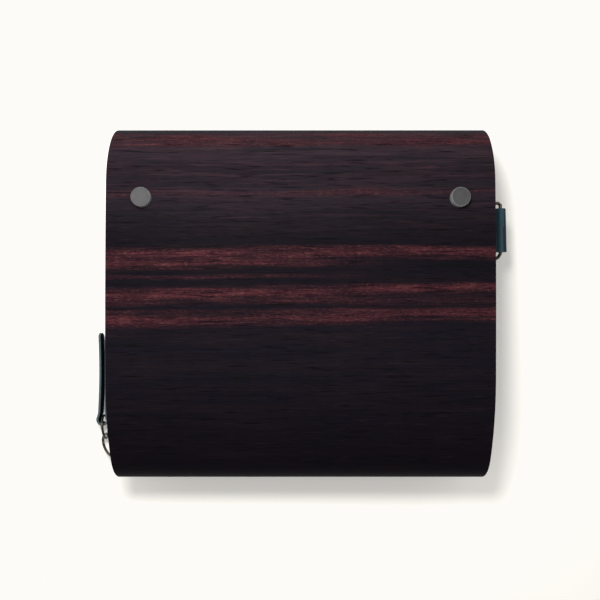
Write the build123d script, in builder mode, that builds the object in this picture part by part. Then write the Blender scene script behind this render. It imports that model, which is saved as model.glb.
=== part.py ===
"""Wood-veneer and leather clutch bag, lying on its back.

Frame: origin at the middle of the flat back face, +Z out of the front face,
+Y towards the top edge, +X towards the side with the strap ring. Units: mm.
"""

import os
from math import asin, atan2, cos, degrees, hypot, radians, sin, sqrt

from build123d import *

os.makedirs("parts", exist_ok=True)

# ---------------------------------------------------------------- dimensions
width = 210.0
half_height = 101.0
depth = 64.0
mid_z = 32.0

# cover section: end bends, shoulders and the faintly bowed front
top_bend_r = 28.0
bottom_bend_r = 24.1
crown_r = 2150.0
crown_y = -8.9
front_top_shoulder_r = 42.3
front_bottom_shoulder_r = 126.0
back_top_shoulder_r = 50.0
back_bottom_shoulder_r = 110.0

# layers of the cover, measured inwards from its outer face
veneer_t = 1.2
front_lining_t = 0.8
back_board_t = 3.2
spine_t = 1.0
top_part_angle = 0.9
spine_part_angle = 9.0
spine_wrap_angle = 38.0
spine_gap = 0.9

# pouch inside the cover
pouch_inset = veneer_t + back_board_t
pouch_t = 1.2
pouch_half = 94.0
zip_slot_half = 9.0
gusset_slot_half = 7.5
zip_slot_end = -92.3

# zip fastener, an L across the top and down the left side
tape_x = -92.6
tape_y = 91.35
tape_t = 0.6
tape_half = 11.0
tape_in = 1.6
teeth_in = 0.7
teeth_half = 3.0
teeth_t = 2.4
zip_corner_r = 9.0
zip_right_end = 89.0
zip_low_end = -91.4

# slider, its tab and the three loose links
slider_y = -87.0
slider_len = 10.0
slider_half = 4.4
plate_t = 1.2
bail_x = -99.2
bail_wire_r = 0.65
bail_half = 3.8
tab_y = -88.7
tab_end = (-109.5, 24.6)
tab_r = 2.4
tab_hole_r = 1.25
tab_t = 1.2
ring_far = (-124.9, -86.0, 5.2)
ring_near = (tab_end[0], tab_y, tab_end[1])
ring_half_w = 6.3
ring_wire_r = 0.8
link_x = -122.9
link_mid_y = -77.6
link_yaw = 6.6
link_mid_z = 6.75
link_half_l = 7.1
link_half_h = 5.9
link_wire_r = 0.75

# folded leather pull
pull_x = -123.7
pull_t = 1.4
pull_w = 8.0
pull_low_z = 2.5
pull_tip_y = -18.8
pull_loop_y = -76.0
leg_half = 2.0
eye_r = 3.2
throat_r = 14.0

# strap ring and its leather tab on the right side
tab_mid_y = 42.9
tab_width = 25.4
ring_bar_x = 117.2
ring_bar_z = 33.0
fold_r = 3.3
fold_t = 1.5
layer_in = 0.15
layer_out = layer_in + fold_t
fold_run = 9.0
tab_lip = 9.0
rivet_x = 102.5
rivet_y = 9.0
rivet_r = 1.0
rivet_head_r = 2.6
rivet_head_t = 0.9
d_wire_r = 1.0
d_arc_r = 16.0
d_drop = 8.2

# snap studs
stud_x = 85.3
stud_y = 57.0
stud_head_r = 5.2
stud_neck_r = 4.8
shank_r = 1.6
shank_hole_r = 1.7
cap_foot = 0.05
neck_low = 1.1
neck_high = 2.0
cap_top = 4.6


# ------------------------------------------------------------ cover section
def meet(b, rb, c, rc, s, side):
    """Centre of the arc of radius s that touches both circles from inside."""
    d = hypot(c[0] - b[0], c[1] - b[1])
    p = s - rb
    q = rc - s
    along = (p * p - q * q + d * d) / (2 * d)
    off = sqrt(max(p * p - along * along, 0.0))
    ux = (c[0] - b[0]) / d
    uy = (c[1] - b[1]) / d
    one = (b[0] + along * ux - off * uy, b[1] + along * uy + off * ux)
    two = (b[0] + along * ux + off * uy, b[1] + along * uy - off * ux)
    return max(one, two) if side > 0 else min(one, two)


def heading(a, b):
    """Angle of the line from a to b, 0 to 360 degrees."""
    return degrees(atan2(b[1] - a[1], b[0] - a[0])) % 360


top_c = (half_height - top_bend_r, mid_z)
low_c = (-half_height + bottom_bend_r, mid_z)
crown_c = (crown_y, depth - crown_r)
ft_c = meet(top_c, top_bend_r, crown_c, crown_r, front_top_shoulder_r, -1)
fb_c = meet(low_c, bottom_bend_r, crown_c, crown_r, front_bottom_shoulder_r, 1)
bt_run = sqrt((back_top_shoulder_r - top_bend_r) ** 2 - (back_top_shoulder_r - mid_z) ** 2)
bt_c = (top_c[0] - bt_run, back_top_shoulder_r)
bb_run = sqrt((back_bottom_shoulder_r - bottom_bend_r) ** 2 - (back_bottom_shoulder_r - mid_z) ** 2)
bb_c = (low_c[0] + bb_run, back_bottom_shoulder_r)

a_ft1 = heading(ft_c, top_c)
a_ft2 = heading(crown_c, ft_c)
a_fb1 = heading(crown_c, fb_c)
a_fb2 = heading(fb_c, low_c)
a_bb = heading(bb_c, low_c)
a_bt = heading(bt_c, top_c)


def front_run(first, last):
    """Arcs of the front from angle `first` on the top bend to `last` on the bottom bend."""
    return [
        (top_c, top_bend_r, first, a_ft1),
        (ft_c, front_top_shoulder_r, a_ft1, a_ft2),
        (crown_c, crown_r, a_ft2, a_fb1),
        (fb_c, front_bottom_shoulder_r, a_fb1, a_fb2),
        (low_c, bottom_bend_r, a_fb2, last),
    ]


def back_run(first, last):
    """Arcs of the back from angle `first` on the bottom bend to `last` on the top bend."""
    return [
        (low_c, bottom_bend_r, first, a_bb),
        (bb_c, back_bottom_shoulder_r, a_bb, 270.0),
        (bt_c, back_top_shoulder_r, 270.0, a_bt),
        (top_c, top_bend_r, a_bt, last),
    ]


def on_arc(c, r, a):
    return (c[0] + r * cos(radians(a)), c[1] + r * sin(radians(a)))


def strip(run, outer, inner):
    """Closed band between two insets of a run of arcs, inside BuildLine."""
    for inset in (outer, inner):
        last = None
        for c, r, a0, a1 in run:
            start = on_arc(c, r - inset, a0)
            if last is not None and hypot(start[0] - last[0], start[1] - last[1]) > 0.01:
                Line(last, start)
            CenterArc(c, r - inset, a0, a1 - a0)
            last = on_arc(c, r - inset, a1)
    first = run[0]
    final = run[-1]
    for c, r, a in ((first[0], first[1], first[2]), (final[0], final[1], final[3])):
        Line(on_arc(c, r - outer, a), on_arc(c, r - inner, a))


def loop(inset):
    """The whole section at one inset, inside BuildLine."""
    run = front_run(0.0, 180.0) + back_run(180.0, 360.0)
    last = on_arc(run[-1][0], run[-1][1] - inset, run[-1][3])
    for c, r, a0, a1 in run:
        start = on_arc(c, r - inset, a0)
        if hypot(start[0] - last[0], start[1] - last[1]) > 0.01:
            Line(last, start)
        CenterArc(c, r - inset, a0, a1 - a0)
        last = on_arc(c, r - inset, a1)


def stud_seat(side, offset=0.0):
    """Plane on the front face at a stud, normal to the face."""
    tilt = asin((stud_y - crown_y) / crown_r)
    seat = Plane(
        origin=(side * stud_x, stud_y, crown_c[1] + crown_r * cos(tilt)),
        x_dir=(1, 0, 0),
        z_dir=(0, sin(tilt), cos(tilt)),
    )
    return seat.offset(offset)


# -------------------------------------------------------------------- cover
with BuildPart() as front_shell:
    with BuildSketch(Plane.YZ):
        with BuildLine():
            strip(front_run(top_part_angle, 180 - spine_part_angle), 0, veneer_t)
        make_face()
    extrude(amount=width / 2, both=True)
    for side in (-1, 1):
        with BuildSketch(stud_seat(side, -4)):
            Circle(shank_hole_r)
        extrude(amount=6, mode=Mode.SUBTRACT)

lining_end = 180 - spine_wrap_angle - 0.6
with BuildPart() as front_lining:
    with BuildSketch(Plane.YZ):
        with BuildLine():
            strip(front_run(top_part_angle + 1.5, lining_end), veneer_t, veneer_t + front_lining_t)
        make_face()
    extrude(amount=width / 2 - 1.5, both=True)
    for side in (-1, 1):
        with BuildSketch(stud_seat(side, -4)):
            Circle(shank_hole_r)
        extrude(amount=6, mode=Mode.SUBTRACT)

with BuildPart() as back_shell:
    with BuildSketch(Plane.YZ):
        with BuildLine():
            strip(back_run(180 + spine_part_angle, 360 - top_part_angle), 0, veneer_t)
        make_face()
    extrude(amount=width / 2, both=True)

with BuildPart() as back_board:
    with BuildSketch(Plane.YZ):
        with BuildLine():
            strip(back_run(180 + spine_wrap_angle + 0.6, 360 - 12.0), veneer_t, pouch_inset)
        make_face()
    extrude(amount=width / 2 - 3.0, both=True)

# leather spine: one strip bonded inside both shells, bending at the mid plane
gap_angle = degrees(asin(spine_gap / (bottom_bend_r - veneer_t)))
spine_half = width / 2 - 1.0
with BuildPart() as spine_front:
    with BuildSketch(Plane.YZ):
        with BuildLine():
            spine_up = [(low_c, bottom_bend_r, 180 - spine_wrap_angle, 180 - gap_angle)]
            strip(spine_up, veneer_t, veneer_t + spine_t)
        make_face()
    extrude(amount=spine_half, both=True)

with BuildPart() as spine_back:
    with BuildSketch(Plane.YZ):
        with BuildLine():
            spine_down = [(low_c, bottom_bend_r, 180 + gap_angle, 180 + spine_wrap_angle)]
            strip(spine_down, veneer_t, veneer_t + spine_t)
        make_face()
    extrude(amount=spine_half, both=True)

# -------------------------------------------------------------------- pouch
slot_angle = degrees(asin(zip_slot_half / (top_bend_r - pouch_inset)))
around = front_run(slot_angle, 180.0) + back_run(180.0, 360 - slot_angle)
with BuildPart() as pouch_wrap:
    with BuildSketch(Plane.YZ):
        with BuildLine():
            strip(around, pouch_inset, pouch_inset + pouch_t)
        make_face()
    extrude(amount=pouch_half, both=True)

gusset_inset = pouch_inset + pouch_t
with BuildPart() as right_gusset:
    with BuildSketch(Plane.YZ.offset(pouch_half - pouch_t)):
        with BuildLine():
            loop(gusset_inset)
        make_face()
    extrude(amount=pouch_t)

with BuildPart() as left_gusset:
    with BuildSketch(Plane.YZ.offset(-pouch_half)):
        with BuildLine():
            loop(gusset_inset)
        make_face()
        slot_len = half_height - zip_slot_end
        with Locations(((half_height + zip_slot_end) / 2, mid_z)):
            Rectangle(slot_len, 2 * gusset_slot_half, mode=Mode.SUBTRACT)
    extrude(amount=pouch_t)


# ---------------------------------------------------------------------- zip
def ell(outside, thick):
    """L-shaped band across the top and down the left, inside BuildLine."""
    for d, r in ((0.0, zip_corner_r), (thick, zip_corner_r - thick)):
        x = tape_x - outside + d
        y = tape_y + outside - d
        corner = (x + r, y - r)
        Line((zip_right_end, y), (x + r, y))
        CenterArc(corner, r, 90, 90)
        Line((x, y - r), (x, zip_low_end))
    x = tape_x - outside
    y = tape_y + outside
    Line((zip_right_end, y), (zip_right_end, y - thick))
    Line((x, zip_low_end), (x + thick, zip_low_end))


with BuildPart() as zip_tape_front:
    with BuildSketch(Plane.XY.offset(mid_z + tape_in)):
        with BuildLine():
            ell(0, tape_t)
        make_face()
    extrude(amount=tape_half - tape_in)

with BuildPart() as zip_tape_back:
    with BuildSketch(Plane.XY.offset(mid_z - tape_half)):
        with BuildLine():
            ell(0, tape_t)
        make_face()
    extrude(amount=tape_half - tape_in)

teeth_out = (teeth_t - tape_t) / 2
with BuildPart() as zip_teeth_front:
    with BuildSketch(Plane.XY.offset(mid_z + teeth_in)):
        with BuildLine():
            ell(teeth_out, teeth_t)
        make_face()
    extrude(amount=teeth_half - teeth_in)
    with BuildSketch(Plane.XY.offset(mid_z + tape_in)):
        with BuildLine():
            ell(0, tape_t)
        make_face()
    extrude(amount=tape_half - tape_in, mode=Mode.SUBTRACT)

with BuildPart() as zip_teeth_back:
    with BuildSketch(Plane.XY.offset(mid_z - teeth_half)):
        with BuildLine():
            ell(teeth_out, teeth_t)
        make_face()
    extrude(amount=teeth_half - teeth_in)
    with BuildSketch(Plane.XY.offset(mid_z - tape_half)):
        with BuildLine():
            ell(0, tape_t)
        make_face()
    extrude(amount=tape_half - tape_in, mode=Mode.SUBTRACT)

# metal stops crimped on each tape at the open end
with BuildPart() as zip_stops:
    for side in (-1, 1):
        with Locations((zip_right_end + 1.0, tape_y - tape_t / 2, mid_z + side * 2.6)):
            Box(1.8, 3.0, 3.4)

# ------------------------------------------------------------------- slider
slot_mid = tape_x + tape_t / 2
cavity = teeth_t / 2 + 0.4
with BuildPart() as slider_body:
    for side in (-1, 1):
        plate_x = slot_mid + side * (cavity + plate_t / 2)
        with BuildSketch(Plane.YZ.offset(plate_x - plate_t / 2)):
            with Locations((slider_y, mid_z)):
                RectangleRounded(slider_len, 2 * slider_half, 2.2)
        extrude(amount=plate_t)
        for rim in (-1, 1):
            rim_x = slot_mid + side * (cavity - 0.45)
            with Locations((rim_x, slider_y + 0.4, mid_z + rim * (slider_half - 0.5))):
                Box(0.9, slider_len - 5.4, 1.0)
    with Locations((slot_mid, slider_y - slider_len / 2 + 1.6, mid_z)):
        Box(2 * cavity + 0.2, 2.6, 0.8)
    fillet(slider_body.edges().filter_by(Axis.Y).group_by(Axis.X)[0], 0.3)

bail_foot = slot_mid - cavity - plate_t
with BuildPart() as slider_bail:
    rise = bail_foot - bail_x
    with BuildLine() as bail_path:
        arch = FilletPolyline(
            (bail_foot, slider_y - bail_half, mid_z),
            (bail_x, slider_y - bail_half, mid_z),
            (bail_x, slider_y + bail_half, mid_z),
            (bail_foot, slider_y + bail_half, mid_z),
            radius=1.3,
        )
    with BuildSketch(Plane(origin=arch @ 0, z_dir=arch % 0)):
        Circle(bail_wire_r)
    sweep()

# flat tab carried by the bail; both of its holes run along Y
droop = degrees(atan2(tab_end[1] - mid_z, tab_end[0] - bail_x))
tab_len = hypot(tab_end[0] - bail_x, tab_end[1] - mid_z)
tab_plane = Plane(
    origin=(bail_x, tab_y - tab_t / 2, mid_z),
    x_dir=(cos(radians(droop)), 0, sin(radians(droop))),
    z_dir=(0, 1, 0),
)
with BuildPart() as slider_tab:
    with BuildSketch(tab_plane):
        with Locations((tab_len / 2, 0)):
            SlotCenterToCenter(tab_len, 2 * tab_r)
        with Locations((0, 0), (tab_len, 0)):
            Circle(tab_hole_r, mode=Mode.SUBTRACT)
        with Locations((tab_len / 2, 0)):
            SlotCenterToCenter(tab_len - 8.4, 1.6, mode=Mode.SUBTRACT)
    extrude(amount=tab_t)
    fillet(slider_tab.faces().filter_by(Axis.Y).edges(), 0.2)

# -------------------------------------------------------------- loose links
ring_c = tuple((a + b) / 2 for a, b in zip(ring_far, ring_near))
ring_u = Vector(*(b - a for a, b in zip(ring_far, ring_near)))
ring_half_l = ring_u.length / 2
ring_u = ring_u.normalized()
ring_v = (Vector(0, -1, 0) - ring_u * Vector(0, -1, 0).dot(ring_u)).normalized()
ring_plane = Plane(origin=ring_c, x_dir=ring_u, z_dir=ring_u.cross(ring_v))
with BuildPart() as pull_ring:
    with BuildLine(ring_plane):
        ring_path = EllipticalCenterArc((0, 0), ring_half_l, ring_half_w, arc_size=360)
    with BuildSketch(Plane(origin=ring_path @ 0, z_dir=ring_path % 0)):
        Circle(ring_wire_r)
    sweep()

with BuildPart() as link_ring:
    link_plane = Plane(
        origin=(link_x, link_mid_y, link_mid_z),
        x_dir=(-sin(radians(link_yaw)), cos(radians(link_yaw)), 0),
        z_dir=(cos(radians(link_yaw)), sin(radians(link_yaw)), 0),
    )
    with BuildLine(link_plane):
        link_path = EllipticalCenterArc((0, 0), link_half_l, link_half_h, arc_size=360)
    with BuildSketch(Plane(origin=link_path @ 0, z_dir=link_path % 0)):
        Circle(link_wire_r)
    sweep()

# folded strip: two straight legs that open into an eye around the link
pull_tilt = 1.7
pull_plane = Plane(
    origin=(0, pull_loop_y, pull_low_z),
    x_dir=(1, 0, 0),
    z_dir=(0, -sin(radians(pull_tilt)), cos(radians(pull_tilt))),
)
pull_tip = pull_tip_y - pull_loop_y
neck_y = eye_r + sqrt((eye_r + throat_r) ** 2 - (leg_half + throat_r) ** 2)
throat_turn = degrees(atan2(neck_y - eye_r, leg_half + throat_r))
with BuildPart() as leather_pull:
    with BuildSketch(pull_plane):
        with BuildLine():
            for h in (pull_t / 2, -pull_t / 2):
                for side in (-1, 1):
                    leg_x = pull_x + side * (leg_half + h)
                    throat_c = (pull_x + side * (leg_half + throat_r), neck_y)
                    Line((leg_x, pull_tip), (leg_x, neck_y))
                    CenterArc(throat_c, throat_r - h, -throat_turn if side < 0 else 180, throat_turn)
                CenterArc((pull_x, eye_r), eye_r + h, 180 - throat_turn, 180 + 2 * throat_turn)
            for side in (-1, 1):
                inner_x = pull_x + side * (leg_half - pull_t / 2)
                Line((inner_x, pull_tip), (inner_x + side * pull_t, pull_tip))
        make_face()
    extrude(amount=pull_w)

# ------------------------------------------------------- strap ring and tab
root_x = pouch_half + 0.1
near_x = ring_bar_x - fold_run
lip_x = root_x + fold_t
with BuildPart() as ring_tab:
    with BuildSketch(Plane.XZ.offset(-tab_mid_y - tab_width / 2)):
        with BuildLine():
            for r, z in ((fold_r, layer_out), (fold_r - fold_t, layer_in)):
                CenterArc((ring_bar_x, ring_bar_z), r, -90, 180)
                for s in (-1, 1):
                    Line((ring_bar_x, ring_bar_z + s * r), (near_x, ring_bar_z + s * z))
            for s in (-1, 1):
                outer = ring_bar_z + s * layer_out
                inner = ring_bar_z + s * layer_in
                end = ring_bar_z + s * tab_lip
                Polyline((near_x, outer), (lip_x, outer), (lip_x, end), (root_x, end))
                Polyline((root_x, end), (root_x, inner), (near_x, inner))
        make_face()
    extrude(amount=tab_width)
    for y in (tab_mid_y - rivet_y, tab_mid_y + rivet_y):
        with BuildSketch(Plane.XY.offset(ring_bar_z - 5)):
            with Locations((rivet_x, y)):
                Circle(rivet_r)
        extrude(amount=10, mode=Mode.SUBTRACT)

# rivets that clinch the tab's two layers beside the ring
with BuildPart() as tab_rivets:
    for y in (tab_mid_y - rivet_y, tab_mid_y + rivet_y):
        with Locations((rivet_x, y, ring_bar_z)):
            Cylinder(rivet_r, 2 * layer_out + 0.4)
        for s in (-1, 1):
            with Locations((rivet_x, y, ring_bar_z + s * (layer_out + 0.05 + rivet_head_t / 2))):
                Cylinder(rivet_head_r, rivet_head_t)

chord_half = sqrt(d_arc_r**2 - d_drop**2)
with BuildPart() as d_ring:
    d_plane = Plane(
        origin=(ring_bar_x, tab_mid_y, ring_bar_z - d_drop),
        x_dir=(0, 1, 0),
        z_dir=(1, 0, 0),
    )
    turn = degrees(atan2(d_drop, chord_half))
    with BuildLine(d_plane):
        bow = CenterArc((0, 0), d_arc_r, 180 - turn, 180 + 2 * turn)
        bar = Line(bow @ 1, bow @ 0)
    with BuildSketch(Plane(origin=bow @ 0, z_dir=bow % 0)):
        Circle(d_wire_r)
    sweep(path=bow)
    with BuildSketch(Plane(origin=bar @ 0, z_dir=bar % 0)):
        Circle(d_wire_r)
    sweep(path=bar)
    for end in (-1, 1):
        with Locations((ring_bar_x, tab_mid_y + end * chord_half, ring_bar_z)):
            Sphere(d_wire_r)

# -------------------------------------------------------------- snap studs
with BuildPart() as stud_caps:
    for side in (-1, 1):
        with BuildSketch(stud_seat(side, neck_low)):
            Circle(stud_neck_r)
        extrude(amount=neck_high - neck_low)
        with BuildSketch(stud_seat(side, neck_high)):
            Circle(stud_head_r)
        extrude(amount=cap_top - neck_high)
        with BuildSketch(stud_seat(side, -veneer_t - front_lining_t - 0.1)):
            Circle(shank_r)
        extrude(amount=neck_low + veneer_t + front_lining_t + 0.1)
    rims = stud_caps.edges().filter_by(GeomType.CIRCLE).filter_by(lambda e: e.radius > 5.0)
    chamfer(rims, 0.3)

with BuildPart() as stud_washers:
    for side in (-1, 1):
        with BuildSketch(stud_seat(side, cap_foot)):
            Circle(stud_head_r - 0.1)
            Circle(1.65, mode=Mode.SUBTRACT)
        extrude(amount=neck_low - cap_foot - 0.02)

socket_top = -veneer_t - front_lining_t - 0.15
with BuildPart() as snap_sockets:
    for side in (-1, 1):
        with BuildSketch(stud_seat(side, socket_top - 0.5)):
            Circle(5.2)
        extrude(amount=0.4)
        with BuildSketch(stud_seat(side, socket_top - 1.7)):
            Circle(4.4)
            Circle(2.7, mode=Mode.SUBTRACT)
        extrude(amount=1.25)

with BuildPart() as snap_posts:
    for side in (-1, 1):
        with BuildSketch(stud_seat(side, -pouch_inset + 0.03)):
            Circle(5.0)
        extrude(amount=0.4)
        with BuildSketch(stud_seat(side, -pouch_inset + 0.4)):
            Circle(2.0)
        extrude(amount=1.2)
    fillet(snap_posts.edges().filter_by(GeomType.CIRCLE).group_by(Axis.Z)[-1], 0.3)

pieces = {
    "front_shell": front_shell,
    "front_lining": front_lining,
    "back_shell": back_shell,
    "back_board": back_board,
    "spine_front": spine_front,
    "spine_back": spine_back,
    "pouch_wrap": pouch_wrap,
    "left_gusset": left_gusset,
    "right_gusset": right_gusset,
    "zip_tape_front": zip_tape_front,
    "zip_tape_back": zip_tape_back,
    "zip_teeth_front": zip_teeth_front,
    "zip_teeth_back": zip_teeth_back,
    "zip_stops": zip_stops,
    "slider_body": slider_body,
    "slider_bail": slider_bail,
    "slider_tab": slider_tab,
    "pull_ring": pull_ring,
    "link_ring": link_ring,
    "leather_pull": leather_pull,
    "ring_tab": ring_tab,
    "tab_rivets": tab_rivets,
    "d_ring": d_ring,
    "stud_caps": stud_caps,
    "stud_washers": stud_washers,
    "snap_sockets": snap_sockets,
    "snap_posts": snap_posts,
}
for label, piece in pieces.items():
    piece.part.label = label
    export_step(piece.part, f"parts/{label}.step")
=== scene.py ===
import math

import bpy
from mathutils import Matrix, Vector


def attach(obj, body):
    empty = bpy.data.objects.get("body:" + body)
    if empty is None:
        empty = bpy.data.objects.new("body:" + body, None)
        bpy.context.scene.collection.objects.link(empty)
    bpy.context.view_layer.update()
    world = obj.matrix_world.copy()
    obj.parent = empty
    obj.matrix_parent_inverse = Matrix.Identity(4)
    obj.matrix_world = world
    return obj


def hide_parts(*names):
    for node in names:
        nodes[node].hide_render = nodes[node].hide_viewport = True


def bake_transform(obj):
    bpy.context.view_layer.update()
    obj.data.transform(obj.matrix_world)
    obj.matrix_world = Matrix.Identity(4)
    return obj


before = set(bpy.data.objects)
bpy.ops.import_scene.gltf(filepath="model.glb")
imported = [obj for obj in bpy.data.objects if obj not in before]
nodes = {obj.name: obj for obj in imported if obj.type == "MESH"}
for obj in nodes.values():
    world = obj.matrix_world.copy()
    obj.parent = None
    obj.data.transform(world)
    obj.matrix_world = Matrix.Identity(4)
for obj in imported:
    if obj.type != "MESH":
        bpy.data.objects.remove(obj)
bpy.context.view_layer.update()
MM = 0.001


# ------------------------------------------------------------------ materials
class Nodes:
    """Small helper that builds one node material."""

    def __init__(self, name):
        self.mat = bpy.data.materials.new(name)
        self.mat.use_nodes = True
        self.tree = self.mat.node_tree
        self.out = self.tree.nodes["Material Output"]
        self.bsdf = self.tree.nodes["Principled BSDF"]

    def add(self, kind, **values):
        node = self.tree.nodes.new(kind)
        for key, value in values.items():
            setattr(node, key, value)
        return node

    def link(self, a, b):
        self.tree.links.new(a, b)

    def math(self, op, a, b=None, c=None, clamp=False):
        node = self.add("ShaderNodeMath", operation=op, use_clamp=clamp)
        for slot, value in enumerate((a, b, c)):
            if value is None:
                continue
            if isinstance(value, (int, float)):
                node.inputs[slot].default_value = value
            else:
                self.link(value, node.inputs[slot])
        return node.outputs[0]

    def combine(self, x, y, z):
        node = self.add("ShaderNodeCombineXYZ")
        for slot, value in enumerate((x, y, z)):
            if isinstance(value, (int, float)):
                node.inputs[slot].default_value = value
            else:
                self.link(value, node.inputs[slot])
        return node.outputs[0]

    def noise(self, vector, scale=1.0, detail=2.0, rough=0.5, distortion=0.0):
        node = self.add("ShaderNodeTexNoise")
        node.inputs["Scale"].default_value = scale
        node.inputs["Detail"].default_value = detail
        node.inputs["Roughness"].default_value = rough
        node.inputs["Distortion"].default_value = distortion
        self.link(vector, node.inputs["Vector"])
        return node.outputs["Fac"]

    def ramp(self, fac, stops):
        node = self.add("ShaderNodeValToRGB")
        for i, (pos, colour) in enumerate(stops):
            el = node.color_ramp.elements[i] if i < 2 else node.color_ramp.elements.new(pos)
            el.position = pos
            el.color = (*colour, 1.0)
        self.link(fac, node.inputs["Fac"])
        return node.outputs["Color"]

    def level(self, fac, low, high, a=0.0, b=1.0):
        node = self.add("ShaderNodeMapRange")
        for slot, value in zip(range(1, 5), (low, high, a, b)):
            node.inputs[slot].default_value = value
        self.link(fac, node.inputs[0])
        return node.outputs[0]

    def mix(self, fac, a, b, blend="MIX"):
        node = self.add("ShaderNodeMix", data_type="RGBA", blend_type=blend)
        for socket, value in ((node.inputs[0], fac), (node.inputs[6], a), (node.inputs[7], b)):
            if isinstance(value, (int, float)):
                socket.default_value = value
            elif isinstance(value, tuple):
                socket.default_value = (*value, 1.0)
            else:
                self.link(value, socket)
        return node.outputs[2]

    def bump(self, height, strength, distance, normal=None):
        node = self.add("ShaderNodeBump")
        node.inputs["Strength"].default_value = strength
        node.inputs["Distance"].default_value = distance
        self.link(height, node.inputs["Height"])
        if normal is not None:
            self.link(normal, node.inputs["Normal"])
        return node.outputs[0]

    def set(self, name, value):
        socket = self.bsdf.inputs[name]
        if isinstance(value, (int, float)):
            socket.default_value = value
        elif isinstance(value, tuple):
            socket.default_value = (*value, 1.0)
        else:
            self.link(value, socket)


# the grain map runs this far (metres) to each side of the front's centre
GRAIN_SPAN = 0.14


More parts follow.
